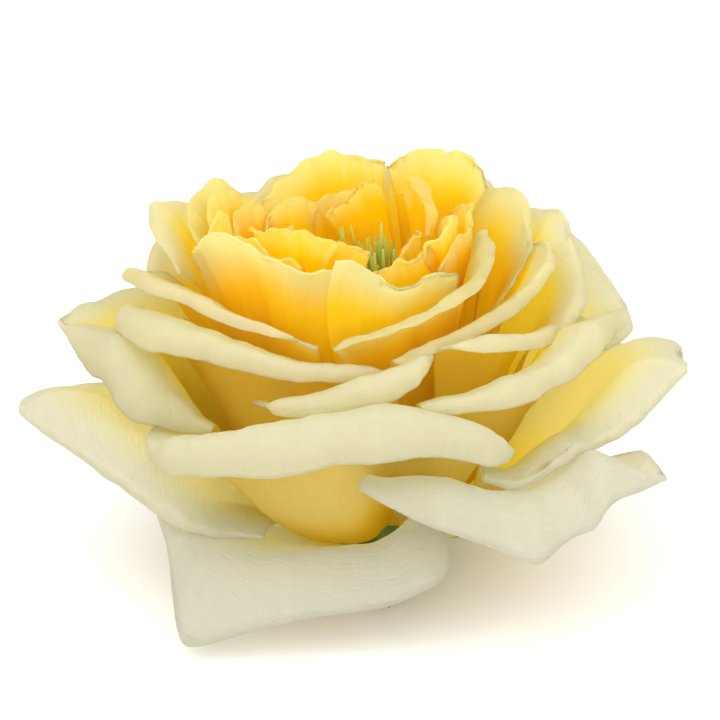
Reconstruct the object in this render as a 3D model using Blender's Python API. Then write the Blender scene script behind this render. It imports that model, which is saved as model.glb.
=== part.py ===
"""Open rose head, cut just under the hip: the receptacle with its hip and neck, the sepals, the
stamens and every petal as a thin curled solid of its own. Metres, +Z up. It rests on its cut neck
and its lowest petals."""

import math

import bmesh
import bpy
import numpy as np
from mathutils import Matrix, Vector
from mathutils.bvhtree import BVHTree

MM = 0.001

# Driving dimensions, in millimetres and degrees. The bloom is built about its own axis, which then leans.
LEAN_LEFT = 7.0
DOME_RADIUS = 7.5      # receptacle, at its widest ring
DOME_HEIGHT = 18.0     # receptacle, from its widest ring to its top
HIP_LOW_ANGLE = 120.0  # where the hip passes into the neck, counted from the top of the dome
HIP_RINGS = 12
NECK_RADIUS = 3.2
NECK_END = -11.5
SEAT_GAP = 0.3         # air between a claw and the receptacle

PETAL_THICKNESS = 0.45
SEPAL_CLAW_ANGLE = 114.0
OUTER_CLAW_ANGLE = 104.0   # where the outermost petal leaves the dome, counted from its top
INNER_CLAW_ANGLE = 24.0
CLAW_ANGLES = (24, 60)
CLAW_HALF_WIDTHS = (1.1, 2.4)   # a claw is narrow near the top of the receptacle
SPREAD = 0.85          # how far a petal's sides leave the claw towards their own margin
FLAP_LENGTH = 2.2      # length of the rolled margin, in roll radii
FULL_ROLL = 110        # a roll that turns less has a shorter flap
ROLL_EASE = 1.9        # how much more of the turn comes at the start of the roll
CALM_ROUNDS = 2        # how far the ribs even out the way the rim runs

PETAL_GAP = 1.1        # between the middle surfaces of petals that lie on each other
WRONG_SIDE_REACH = 15.0
TUCK_ROUNDS = 4
SMOOTH_ROUNDS = 6

# Mesh fineness: along a span of the crest, up a rib, round the roll
SPAN_STEPS = 2
RIB_STEPS = 4
ROLL_STEPS = 3
ARC_PIECES = 4

STAMEN_CELLS = 5
STAMEN_PAD = 4.4
STAMEN_HEIGHT = 34.0
STAMEN_WIDTH = 0.6
STAMEN_STEPS = 5

# Colours, linear
CREAM = (0.80, 0.72, 0.42)
GOLD = (0.90, 0.52, 0.06)
HIP_GREEN = (0.13, 0.22, 0.05)
SEPAL_GREEN = (0.12, 0.24, 0.06)
STAMEN_OLIVE = (0.30, 0.27, 0.04)


def petal(name, az, crest, face=90, roll=170, start=0, h0=0.35, h1=0.3):
    """One petal. crest lists the points of its rim in order: azimuth, radius, height, radius of the
    roll there and, where the rim comes to a point, how sharp it is from 0 to 1. face is 90 where the
    petal reaches its rim level and 0 where it stands up there. roll is the turn of the margin past
    the rim, start the droop where the petal leaves its claw, and h0 and h1 say how far it keeps its
    direction at either end."""
    return {"name": name, "az": az, "crest": crest, "face": face, "roll": roll,
            "start": start, "h0": h0, "h1": h1}


# From the outermost petal to the innermost
PETALS = [
    petal("guard_petal_front_left", -113, [(-153, 40.5, 13, 1.2), (-147, 38.5, 9.5, 4.4),
          (-135, 37, 7.2, 14.8, .5), (-125, 35, 7, 11.4), (-114, 32, 6.4, 9.4), (-101, 29.5, 6, 8.4),
          (-87, 28, 6, 8), (-77, 26.5, 7, 7),
          (-70, 24.5, 8.5, 3.5)], face=95, roll=60, start=-36, h0=.42),
    petal("guard_petal_front_right", -50, [(-93, 35, 21.2, 1), (-83, 38, 21.2, 3.8), (-73, 39, 20, 6.2),
          (-62, 40.5, 17.2, 7.7), (-54.5, 42, 15.8, 9.8, .6), (-49, 43, 15.5, 7.6),
          (-43.5, 44.5, 16.5, 7.8), (-38.5, 46.8, 19.2, 7.4), (-33.4, 51, 16.6, 4.2),
          (-29, 54.3, 13, .6, .8), (-20, 47, 13, .5)], face=95, roll=60, h0=.45, start=-20),
    petal("guard_petal_back_left", 132, [(98, 26, 6, 1), (112, 42, 0, 2.4), (130, 46, -3.6, 2, .6),
          (148, 40, 1, 2), (164, 28, 8, 1)], face=110, roll=100),
    petal("guard_petal_left", -165, [(-214, 38, 13, .5), (-198, 47.5, 20.5, 1.2), (-182, 54.5, 26.4, 1.2),
          (-168, 57.8, 31.4, .6, .8), (-158, 51, 26.4, 1.5), (-151, 46, 21.8, 1.8), (-146.5, 42, 17, 1.8),
          (-142.5, 37.5, 12, 1.4, .4), (-138, 33, 8.8, .8),
          (-131, 29.5, 6.8, .5)], face=118, roll=75, h0=.42, start=-38),
    petal("guard_petal_back_right", 48, [(14, 27, 0, .8), (28, 40, -6, 2), (46, 48, -12, 1.6, .6),
          (62, 43, -7, 2.4), (78, 28, -1, .8)], face=125, roll=100),
    petal("outer_petal_right", -18, [(-60, 36, 19, .5), (-53, 39.5, 17.5, 1.2), (-44, 42.5, 19, 1.8),
          (-35, 45.5, 20.5, 2), (-29, 49.5, 24, 1.8), (-22, 56, 29.5, .6, .8), (-6, 53, 26, 1.4),
          (10, 50, 21, 1.6), (26, 46, 15, 1.2), (38, 38, 12, .5)], face=115, roll=75, h0=.5, start=-14),
    petal("outer_petal_back", 88, [(50, 34, 20, .6), (64, 46, 23, 2), (86, 52, 22, 1.6, .6),
          (108, 46, 24, 2), (124, 34, 22, .6)], face=100, roll=95, h0=.5),
    petal("outer_petal_back_left", 152, [(118, 31, 26, .5), (134, 45, 29.5, 1.6), (152, 52, 27, 1.2, .6),
          (170, 47, 26, 1.6), (184, 39.5, 20, .5)], face=100, roll=95, h0=.5),
    petal("outer_petal_front", -97, [(-160, 40, 21.5, .5), (-154, 41.5, 24.5, 1.8), (-146, 41.8, 28, 3),
          (-138, 41.8, 30.8, 3.6), (-128, 41.6, 33, 4), (-117, 41.5, 34.8, 4.1), (-103, 41.5, 35.8, 4.2),
          (-90, 41.5, 35.2, 4.2), (-77, 41.5, 33, 4), (-64, 41, 29.4, 3.4), (-56.5, 40.6, 25.8, 2.6),
          (-51.5, 38.4, 22.2, 1)], face=84, roll=105, h0=.62, start=-1),
    petal("outer_petal_back_right", 43, [(12, 42, 17, .5), (18, 47, 20, 1.2), (24, 49.4, 22, .5, .8),
          (28, 46.5, 29, 1.2), (33, 45, 34, 1.4), (42, 44.5, 36, 2), (56, 46, 33, 2),
          (70, 38, 29, .8)], face=80, roll=80, h0=.5),
    petal("fold_petal_left", -178, [(-214, 36, 35.5, .5), (-202, 43, 37, 1.2), (-191, 48, 38, 1.4),
          (-181, 51.4, 39.2, .7, .7), (-171, 45, 40.5, 3.4), (-161, 41, 41.6, 4.4),
          (-155.5, 38.8, 37.4, 4.6), (-152, 36, 32.4, 4.2), (-148.5, 33.8, 28.2, 2.6),
          (-145, 31.5, 26, .6)], face=86, roll=105, h0=.5, h1=.24),
    petal("fold_petal_back", 112, [(76, 34, 35, .5), (92, 43, 37, 1.8), (112, 45, 38, 2, .5),
          (130, 43, 38, 1.8), (146, 34, 37, .5)], face=84, roll=100, h0=.5),
    petal("fold_petal_right", -33, [(-74, 35, 33.5, .5), (-66, 36, 34, 1.2), (-56, 37, 34.5, 2.2),
          (-46, 38.5, 35, 2.6), (-36, 40.5, 36, 2.8), (-27, 42, 38, 2.6), (-18, 42.5, 36.5, 1.8, .4),
          (-8, 41, 33, 1.2), (4, 36, 30, .5)], face=84, roll=105, h0=.45),
    petal("fold_petal_front", -100, [(-128, 29, 33.2, .4), (-114, 33, 36, 1.2), (-98, 34.2, 38, 2.2),
          (-84, 34.3, 40.4, 2.7), (-74, 33, 41.5, 2.4, .3), (-68.5, 30.5, 40.5, 1.4),
          (-64.5, 28.4, 38.8, .5)], face=84, roll=105, h0=.45),
    petal("fold_petal_back_right", 26, [(-22, 33, 33, .5), (-10, 35.5, 35.2, 1.2), (2, 36.5, 38.3, 1.4),
          (13, 36.8, 42.3, 1.4), (21, 37.4, 45.3, 1.1, .5), (32, 37, 43.2, 1.2), (42, 36, 41, 1.2),
          (56, 36, 38, .6)], face=70, roll=85, h0=.45),
    petal("collar_petal_left", -142, [(-192, 30, 36, .5), (-178, 38, 42, 1.4, .3), (-165, 38.5, 46, 2.4),
          (-152, 36.5, 46.8, 2.8), (-138, 32.6, 46, 2.8), (-124, 29.8, 43.8, 2.6),
          (-108, 28.3, 41.2, 2.1), (-92, 27.3, 39.2, 1.3),
          (-80, 26.3, 37, .4)], face=80, roll=105, h0=.45),
    petal("collar_petal_right", -38, [(-63, 30, 40.8, .3), (-54, 32, 40.8, .9), (-44, 34, 39.8, 1.4),
          (-33, 35.5, 37.8, 1.5), (-23, 35.5, 35.5, 1), (-17, 33, 34, .4)], face=78, roll=105, h0=.45),
    petal("collar_petal_back", 66, [(30, 32, 39.5, .5), (44, 37, 43, 1.5), (64, 39, 44.5, 1.6, .5),
          (86, 37, 44, 1.5), (106, 30, 41, .5)], face=74, roll=95),
    petal("collar_petal_back_left", 134, [(100, 28, 45.5, .5), (114, 33, 47, 1.4), (134, 38, 46, 1.5, .6),
          (150, 37, 45.5, 1.5), (165, 30, 43.5, .5)], face=70, roll=95, h0=.4),
    petal("cup_petal_left", -155, [(-192, 33, 44, .5), (-181, 37.5, 48, 1.1), (-166, 34, 50.5, 1.4),
          (-148, 29.5, 49.8, 1.5), (-130, 26.5, 46.8, 1.3), (-117, 25, 44.5, .8),
          (-104, 24.3, 42, .3)], face=62, roll=100, h0=.4),
    petal("cup_petal_back_left", 162, [(138, 29, 48, .4), (147, 31, 51, .7), (156, 32.4, 53.8, .9),
          (165, 33.1, 56, .9, .3), (175, 31, 53.6, .9), (184, 29.2, 51.3, .8),
          (191, 28.6, 49.2, .4)], face=50, roll=70, h0=.4),
    petal("cup_petal_front_right", -38, [(-77, 26, 38.1, .4), (-64, 26.5, 39.5, 1),
          (-46, 26.6, 40.6, 1.4), (-32, 27.6, 41.2, 1.5), (-18, 29.6, 42, 1.4), (-10, 32, 44.2, 1.3, .3),
          (-2, 32.3, 44, 1.2), (7, 32, 43.9, 1, .3), (16, 31, 42, .5)], face=60, roll=105, h0=.4),
    petal("cup_petal_back", 96, [(58, 28, 46.5, .5), (76, 31, 48.5, 1.4), (96, 32, 49.5, 1.2, .4),
          (116, 30.5, 49.5, 1.4), (132, 26, 49, .5)], face=50, roll=90),
    petal("cup_petal_right", 14, [(-20, 25.3, 39.7, .4), (-10, 26.7, 41.6, .8), (5, 29.5, 43.2, 1),
          (18, 31, 45.6, 1, .2), (27, 31, 49.4, .9, .4), (35, 29.5, 48.3, .9), (46, 28, 48.3, .8),
          (57, 26, 47.5, .4)], face=44, roll=75, h0=.38),
    petal("cup_petal_front", -56, [(-98, 24.5, 41.2, .4), (-84, 24.5, 43.5, 1), (-72, 24.5, 44.7, 1.5),
          (-54, 24.5, 45.4, 1.6), (-38, 24.3, 45.8, 1.4), (-22, 22.8, 45.4, .9), (-8, 22, 46.2, .8),
          (4, 21.8, 47.6, .5)], face=40, roll=90),
    petal("heart_petal_front_right", -70, [(-94, 22.6, 55.4, .5), (-88, 22.4, 54.6, .8),
          (-78, 22.2, 51.8, .9), (-67, 22, 49.2, 1), (-57, 22, 49.5, 1.1), (-44, 21.8, 48.2, 1),
          (-31, 21.3, 45.2, .5)], face=12, roll=40),
    petal("heart_petal_front_left", -138, [(-174, 26.5, 48.8, .5), (-167, 27.4, 51.2, .8, .2),
          (-157, 28, 53.8, 1), (-143, 27.6, 57.4, 1.2), (-130, 24.8, 58.1, 1.2), (-118, 23.5, 56, 1.1),
          (-109, 22.8, 52.8, 1), (-100, 22.2, 52, .8), (-93, 21.4, 51.5, .5)], face=14, roll=50),
    petal("cup_petal_left_inner", 156, [(130, 24, 50.5, .4), (140, 24.7, 54, .8),
          (150, 25.2, 57.4, .9, .3), (161, 25.9, 56.6, .9), (172, 26.2, 54.6, .8),
          (183, 25, 52, .4)], face=24, roll=55),
    petal("heart_petal_back_right", 52, [(31, 28, 50, .4), (37, 29.6, 52, .7, .3), (44, 30.2, 53, .9),
          (52, 29.6, 52.9, .9), (60, 28.5, 54, .9, .3), (68, 27, 53, .8),
          (76, 26.8, 51.2, .4)], face=24, roll=50),
    petal("heart_petal_back", 102, [(76, 25.8, 52.4, .4), (86, 26.6, 53.4, .8), (97, 26.6, 53.6, .9),
          (107, 26, 53.2, .9), (113, 25.6, 52.2, .9, .4), (120, 25, 50.8, .8),
          (131, 24, 50.2, .4)], face=20, roll=50),
    petal("heart_petal_left", 166, [(146, 19.5, 53, .5), (156, 21.4, 55.8, .8), (166, 22.3, 56.9, .9, .3),
          (177, 22.3, 55.4, .8), (188, 20.5, 52.5, .5)], face=10, roll=45),
    petal("heart_petal_right", 4, [(-34, 17.5, 46, .5), (-22, 20, 49.6, .7), (-10, 21, 49.5, .9),
          (4, 21.5, 49, .9), (20, 22.5, 50, .9, .4), (34, 20.5, 47.5, .5)], face=10, roll=45),
    petal("heart_petal_front", -144, [(-178, 25, 54, .4), (-170, 25.2, 56.4, .7, .3), (-163, 24, 56, .8),
          (-151, 22.2, 57.8, .9), (-139, 20.4, 56.8, .9), (-126, 19.8, 55, .8),
          (-113, 19.8, 52.6, .5)], face=8, roll=45),
    petal("inner_petal_back", 98, [(73, 17.8, 52.2, .4), (80, 17.6, 51, .7, .2), (90, 17.6, 50.6, .8),
          (102, 16.8, 50.3, .8), (113, 15.6, 50, .7), (124, 14.4, 49.4, .4)], face=8, roll=40),
    petal("inner_petal_left", -178, [(140, 14.6, 50.6, .4), (150, 16.8, 52.6, .7), (160, 18, 54.6, .8),
          (172, 18.4, 55.2, .8, .3), (186, 17.6, 53.4, .8), (200, 16.4, 53.4, .4)], face=6, roll=40),
    petal("inner_petal_right", -10, [(-38, 15.5, 48, .4), (-30, 18.4, 52.4, .7),
          (-20, 18.5, 53.4, .8, .3), (-6, 18.5, 50.5, .9), (8, 17.4, 50.6, .8),
          (20, 15.8, 47.5, .4)], face=8, roll=45),
    petal("inner_petal_back_left", 142, [(116, 16, 49.5, .4), (128, 17, 51.4, .8), (142, 16.4, 52.4, .8),
          (154, 15.5, 52.4, .8), (166, 14.4, 51, .4)], face=8, roll=40),
    petal("inner_petal_front", -128, [(-160, 17, 54.6, .4), (-152, 17.2, 56.3, .7),
          (-138, 17.2, 57.2, .8), (-122, 16.8, 58, .8), (-113, 16.4, 59, .8, .2), (-105, 16, 57, .8),
          (-96, 15.6, 54.4, .5)], face=6, roll=40),
    petal("inner_petal_curled", 30, [(8, 13.5, 47.5, .5), (17, 15.4, 50.5, 1.2), (28, 16, 53, 1.7),
          (40, 15.8, 53.3, 1.7), (50, 14.5, 51.8, .8)], face=4, roll=-95),
    petal("inner_petal_front_right", -46, [(-74, 13.5, 49.5, .4), (-62, 15.4, 50, .8),
          (-48, 15.8, 49.6, .8, .3), (-36, 15.8, 50, .8), (-22, 15, 50, .4)], face=6, roll=40),
    petal("inner_petal_pointed", 90, [(64, 11, 55.2, .3), (72, 11.4, 54.8, .5), (84, 11, 53.4, .6),
          (98, 10.4, 51.8, .6), (112, 10, 50.2, .3)], face=4, roll=20),
    petal("centre_petal_left", 178, [(150, 9.4, 49, .4), (163, 10.4, 51, .7), (179, 10.6, 52, .8, .3),
          (194, 10.2, 51, .7), (206, 9.4, 49.5, .4)], face=4, roll=30),
    petal("centre_petal_front", -100, [(-134, 10, 52, .4), (-120, 11.5, 54, .7), (-102, 11.7, 54.4, .8),
          (-86, 11, 53, .7), (-70, 10.5, 51, .4)], face=4, roll=30),
    petal("centre_petal_right", -10, [(-44, 9.5, 47.5, .4), (-28, 10.8, 49, .7), (-10, 11.4, 50, .8),
          (8, 11, 49, .7), (22, 10, 47, .4)], face=4, roll=35),
]

# They lie under the petals. Azimuth, reach and height of each tip
SEPALS = [("sepal_front", -92, 18, -10), ("sepal_right", 5, 15, -8), ("sepal_back_right", 52, 21, -9),
          ("sepal_back_left", 124, 21, -9), ("sepal_left", 196, 19, -6)]


def sepal(name, az, reach, height):
    crest = [(az - 24, 9, height + 2.5, .5), (az - 15, reach * .62, height + 1.5, .6),
             (az, reach, height, .5, .9),
             (az + 15, reach * .62, height + 1.5, .6), (az + 24, 9, height + 2.5, .5)]
    return petal(name, az, crest, face=95, roll=25, h0=.3)


def unit(v):
    return v / np.linalg.norm(v)


def cylinder_point(azimuth, radius, height):
    angle = math.radians(azimuth)
    return np.array([radius * math.cos(angle), radius * math.sin(angle), height])


def smooth_run(points, sharpness, steps):
    """Points along a smooth curve through the given ones. A sharp point keeps its corner."""
    gap = np.linalg.norm(np.diff(points[:, :3], axis=0), axis=1)
    slope = np.diff(points, axis=0) / gap[:, None]
    tangent = np.empty_like(points)
    tangent[1:-1] = slope[1:] * gap[:-1, None] + slope[:-1] * gap[1:, None]
    tangent[1:-1] /= (gap[1:] + gap[:-1])[:, None]
    tangent[0] = 1.5 * slope[0] - 0.5 * tangent[1]
    tangent[-1] = 1.5 * slope[-1] - 0.5 * tangent[-2]
    tangent *= (1 - sharpness)[:, None]
    run = []
    for i, span in enumerate(gap):
        for k in range(steps):
            t = k / steps
            held = (2 * t**3 - 3 * t**2 + 1) * points[i] + (3 * t**2 - 2 * t**3) * points[i + 1]
            turned = (t**3 - 2 * t**2 + t) * tangent[i] + (t**3 - t**2) * tangent[i + 1]
            run.append(held + span * turned)
    run.append(points[-1])
    return np.array(run)


def rim_directions(points, steps):
    """The way the rim runs, evened out so that ribs don't cross inside a pointed rim."""
    padded = np.vstack([points[:1], points, points[-1:]])
    chord = padded[2:] - padded[:-2]
    for _ in range(CALM_ROUNDS):
        padded = np.vstack([chord[:1], chord, chord[-1:]])
        chord = (padded[:-2] + 2 * padded[1:-1] + padded[2:]) / 4
    count = len(points) - 1
    places = np.linspace(0, count, count * steps + 1)
    return np.array([np.interp(places, np.arange(count + 1), chord[:, k]) for k in range(3)]).T


def claw_point(azimuth, beta):
    """A point just off the receptacle's surface."""
    ring = (DOME_RADIUS + SEAT_GAP) * math.sin(beta)
    height = (DOME_HEIGHT + SEAT_GAP) * math.cos(beta)
    return np.array([ring * math.cos(azimuth), ring * math.sin(azimuth), height])


def petal_grid(spec, claw_angle, span_steps, rib_steps, roll_steps):
    """The petal's middle surface as a grid of points: one row to a rib, from its claw out over the rim."""
    points = np.array([[*cylinder_point(*c[:3]), c[3]] for c in spec["crest"]])
    sharpness = np.array([c[4] if len(c) > 4 else 0 for c in spec["crest"]])
    run = smooth_run(points, sharpness, span_steps)
    along = rim_directions(points[:, :3], span_steps)
    beta = math.radians(claw_angle)
    half_width = np.interp(claw_angle, CLAW_ANGLES, CLAW_HALF_WIDTHS)
    claw_turn = min(half_width / (DOME_RADIUS * math.sin(beta)), 0.9)
    centre = math.radians(spec["az"])
    leave = beta + math.radians(spec["start"])
    face = math.radians(spec["face"])
    roll = math.radians(abs(spec["roll"]))
    side = math.copysign(1, spec["roll"])
    flap = FLAP_LENGTH * min(1, abs(spec["roll"]) / FULL_ROLL)
    grid = []
    for i, (x, y, z, rho) in enumerate(run):
        claw = claw_point(centre + (2 * i / (len(run) - 1) - 1) * claw_turn, beta)
        spread = centre + SPREAD * math.remainder(math.atan2(y, x) - centre, math.tau)
        level = math.sin(leave)
        launch = np.array([math.cos(spread) * level, math.sin(spread) * level, math.cos(leave)])
        tip = np.array([x, y, z])
        facing = np.array([0, 0, math.sin(face)]) - unit(np.array([x, y, 0])) * math.cos(face)
        arrive = unit(np.cross(along[i], facing))
        inside = unit(np.cross(arrive, along[i]))
        if inside @ facing < 0:
            inside = -inside
        reach = np.linalg.norm(tip - claw)
        one = claw + spec["h0"] * reach * launch
        two = tip - spec["h1"] * reach * arrive
        rib = []
        for t in np.linspace(0, 1, rib_steps + 1):
            rib.append((1 - t)**3 * claw + 3 * (1 - t)**2 * t * one + 3 * (1 - t) * t**2 * two + t**3 * tip)
        # past the rim the margin turns over quickly at first, then hangs straighter
        here = tip
        pieces = roll_steps * ARC_PIECES
        for k in range(pieces):
            bend = roll * (1 - (1 - (k + 0.5) / pieces)**ROLL_EASE)
            here = here + (math.cos(bend) * arrive - side * math.sin(bend) * inside) * rho * flap / pieces
            if k % ARC_PIECES == ARC_PIECES - 1:
                rib.append(here)
        grid.append(rib)
    return np.array(grid)


def fan_direction(point):
    """Unit vector at the point that leans in towards the bloom's axis, square to the line from its foot."""
    radius = math.hypot(point[0], point[1])
    outward = np.array([point[0], point[1], 0.0]) / max(radius, 0.01)
    return unit(np.array([0, 0, radius]) - outward * max(point[2], 0.0))


def lean_in(grid, field):
    moved = grid.copy()
    for i, j in np.argwhere(field > 0):
        moved[i, j] += fan_direction(grid[i, j]) * field[i, j]
    return moved


def grid_tree(grid):
    across, along = grid.shape[:2]
    faces = []
    for i in range(across - 1):
        for j in range(along - 1):
            corner = i * along + j
            faces.append((corner, corner + along, corner + along + 1, corner + 1))
    return BVHTree.FromPolygons([Vector(p) for p in grid.reshape(-1, 3)], faces)


def same_side(a, b):
    return abs(math.remainder(math.atan2(a[1], a[0]) - math.atan2(b[1], b[0]), math.tau)) < 1.0


def probe(tree, point, inward):
    """How far the point lacks to lie clear of the tree's surface, and the face that it meets."""
    hit, _, face, gap = tree.ray_cast(point, inward, WRONG_SIDE_REACH)
    if hit is not None and same_side(point, hit):
        return gap + PETAL_GAP, face
    hit, _, face, gap = tree.ray_cast(point, -inward, PETAL_GAP)
    if hit is not None:
        return PETAL_GAP - gap, face
    return 0, None


def crowding(grid, outer):
    """What each point of a petal still lacks to lie inside the petals placed before it."""
    need = np.zeros(grid.shape[:2])
    own_tree = grid_tree(grid)
    faces_along = grid.shape[1] - 1
    for tree, points in outer:
        for i in range(grid.shape[0]):
            for j in range(1, grid.shape[1]):
                lack, _ = probe(tree, Vector(grid[i, j]), Vector(fan_direction(grid[i, j])))
                need[i, j] = max(need[i, j], lack)
        for point in points:
            lack, face = probe(own_tree, Vector(point), -Vector(fan_direction(point)))
            if lack:
                i, j = divmod(face, faces_along)
                near = np.s_[i:i + 2, max(j, 1):j + 2]
                need[near] = np.maximum(need[near], lack)
    return need


def tuck_field(grid, ribs, outer):
    """How far each point of a petal leans in to lie inside the outer ones. The roll moves with the rim."""
    held = np.zeros(grid.shape[:2])
    field = held
    for _ in range(TUCK_ROUNDS if outer else 0):
        need = crowding(lean_in(grid, field), outer)
        held = np.maximum(held, np.where(need > 0, field + need, 0))
        held[:, ribs:] = held[:, ribs:].max(axis=1)[:, None]
        field = held.copy()
        for _ in range(SMOOTH_ROUNDS):
            padded = np.pad(field, 1, mode="edge")
            mean = (padded[:-2, 1:-1] + padded[2:, 1:-1] + padded[1:-1, :-2] + padded[1:-1, 2:]) / 4
            field = np.maximum(held, mean)
            field[:, 0] = 0
            field[:, ribs:] = field[:, ribs:].max(axis=1)[:, None]
    return field


def mesh_object(name, bm):
    mesh = bpy.data.meshes.new(name)
    bm.to_mesh(mesh)
    bm.free()
    mesh.shade_smooth()
    obj = bpy.data.objects.new(name, mesh)
    bpy.context.scene.collection.objects.link(obj)
    return obj


def paint(obj, colour, roughness):
    material = bpy.data.materials.new(obj.name)
    material.use_nodes = True
    shader = material.node_tree.nodes["Principled BSDF"]
    shader.inputs["Base Color"].default_value = (*colour, 1)
    shader.inputs["Roughness"].default_value = roughness
    shader.inputs["Metallic"].default_value = 0
    obj.data.materials.append(material)


def make_sheet(name, grid):
    """A grid of points made a petal of one thickness."""
    across, along = grid.shape[0] - 1, grid.shape[1] - 1
    bm = bmesh.new()
    bmesh.ops.create_grid(bm, x_segments=across, y_segments=along, size=1)
    for v in bm.verts:
        i = round((v.co.x + 1) / 2 * across)
        j = round((v.co.y + 1) / 2 * along)
        v.co = Vector(grid[i, j]) * MM
    obj = mesh_object(name, bm)
    wall = obj.modifiers.new("thickness", "SOLIDIFY")
    wall.thickness = PETAL_THICKNESS * MM
    wall.offset = 0
    return obj


def make_hip():
    """Receptacle, hip and neck, grown as one: a profile turned about the axis."""
    profile = [(0, NECK_END), (NECK_RADIUS, NECK_END), (NECK_RADIUS, NECK_END + 2)]
    for k in range(HIP_RINGS):
        angle = math.radians(HIP_LOW_ANGLE * (1 - k / HIP_RINGS))
        profile.append((DOME_RADIUS * math.sin(angle), DOME_HEIGHT * math.cos(angle)))
    profile.append((0, DOME_HEIGHT))
    bm = bmesh.new()
    line = [bm.verts.new((r * MM, 0, z * MM)) for r, z in profile]
    edges = [bm.edges.new(pair) for pair in zip(line, line[1:])]
    bmesh.ops.spin(bm, geom=line + edges, cent=(0, 0, 0), axis=(0, 0, 1), angle=math.tau, steps=20,
                   use_merge=True)
    bmesh.ops.remove_doubles(bm, verts=bm.verts, dist=0.00005)
    bmesh.ops.recalc_face_normals(bm, faces=bm.faces)
    for v in bm.verts:
        if v.co.z < (NECK_END + 1) * MM:
            v.co.z -= v.co.x * math.tan(math.radians(LEAN_LEFT))   # the cut is level once the bloom leans
    return mesh_object("hip", bm)


def make_stamens():
    """A small pad on top of the receptacle with the filaments drawn out of its upper faces."""
    bm = bmesh.new()
    bmesh.ops.create_grid(bm, x_segments=STAMEN_CELLS, y_segments=STAMEN_CELLS, size=STAMEN_PAD / 2)
    for v in bm.verts:
        # the square grid becomes a round cap that follows the dome
        round_off = max(abs(v.co.x), abs(v.co.y)) / max(v.co.length, 1e-6)
        v.co = v.co * round_off
        v.co.z = DOME_HEIGHT + SEAT_GAP + 0.7 - 0.16 * v.co.length_squared
    drawn = bmesh.ops.extrude_face_region(bm, geom=list(bm.faces))["geom"]
    for v in [g for g in drawn if isinstance(g, bmesh.types.BMVert)]:
        v.co.z += 0.8
    for n, face in enumerate([g for g in drawn if isinstance(g, bmesh.types.BMFace)]):
        if n % 2 == 0:
            draw_filament(bm, face, n)
    bmesh.ops.recalc_face_normals(bm, faces=bm.faces)
    bmesh.ops.scale(bm, vec=(MM, MM, MM), verts=bm.verts)
    return mesh_object("stamens", bm)


def draw_filament(bm, face, n):
    foot = face.calc_center_median()
    away = Vector((math.cos(n), math.sin(n), 0))
    if foot.xy.length > 0.2:
        away = Vector((foot.x, foot.y, 0)).normalized()
    side = Vector((-away.y, away.x, 0))
    height = STAMEN_HEIGHT * (0.86 + 0.14 * math.sin(n * 2.4))
    splay = 1.0 + 1.8 * (n * 0.618 % 1)
    for k in range(1, STAMEN_STEPS + 1):
        share = k / STAMEN_STEPS
        face = bmesh.ops.extrude_discrete_faces(bm, faces=[face])["faces"][0]
        middle = foot + away * splay * share**1.5 + side * 0.9 * math.sin(share * 3 + n) * share
        middle.z = foot.z + height * share
        centre = face.calc_center_median()
        width = STAMEN_WIDTH * (1.5 if k == STAMEN_STEPS else 1)
        scale = width * math.sqrt(2) / (face.verts[0].co - face.verts[2].co).length
        for v in face.verts:
            v.co = middle + (v.co - centre) * scale


def stand(made):
    """Leans the bloom, then moves it so that the middle of its underside is the origin."""
    lean = Matrix.Rotation(math.radians(-LEAN_LEFT), 4, "Y")
    for obj in made:
        obj.data.transform(lean)
    bpy.context.view_layer.update()
    depsgraph = bpy.context.evaluated_depsgraph_get()
    corners = []
    for obj in made:
        corners += [v.co.copy() for v in obj.evaluated_get(depsgraph).data.vertices]
    low = [min(c[i] for c in corners) for i in range(3)]
    high = [max(c[i] for c in corners) for i in range(3)]
    foot = Vector(((low[0] + high[0]) / 2, (low[1] + high[1]) / 2, low[2]))
    for obj in made:
        obj.data.transform(Matrix.Translation(-foot))


def build():
    for obj in list(bpy.data.objects):
        bpy.data.objects.remove(obj)
    hip = make_hip()
    paint(hip, HIP_GREEN, 0.5)
    stamens = make_stamens()
    paint(stamens, STAMEN_OLIVE, 0.6)
    made = [hip, stamens]
    outer = []
    for i, spec in enumerate([sepal(*s) for s in SEPALS] + PETALS):
        depth = (i - len(SEPALS)) / (len(PETALS) - 1)
        colour = [CREAM[c] + (GOLD[c] - CREAM[c]) * depth for c in range(3)]
        claw_angle = OUTER_CLAW_ANGLE + (INNER_CLAW_ANGLE - OUTER_CLAW_ANGLE) * depth
        if depth < 0:
            colour = SEPAL_GREEN
            claw_angle = SEPAL_CLAW_ANGLE
        roll_steps = ROLL_STEPS if abs(spec["roll"]) > 70 else 1
        grid = petal_grid(spec, claw_angle, SPAN_STEPS, RIB_STEPS, roll_steps)
        grid = lean_in(grid, tuck_field(grid, RIB_STEPS, outer))
        outer.append((grid_tree(grid), grid[:, 1:].reshape(-1, 3)))
        made.append(make_sheet(spec["name"], grid))
        paint(made[-1], colour, 0.55)
    stand(made)


build()
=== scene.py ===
import math

import bmesh
import bpy
import numpy as np
from mathutils import Matrix, Vector, noise
from mathutils.bvhtree import BVHTree


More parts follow.
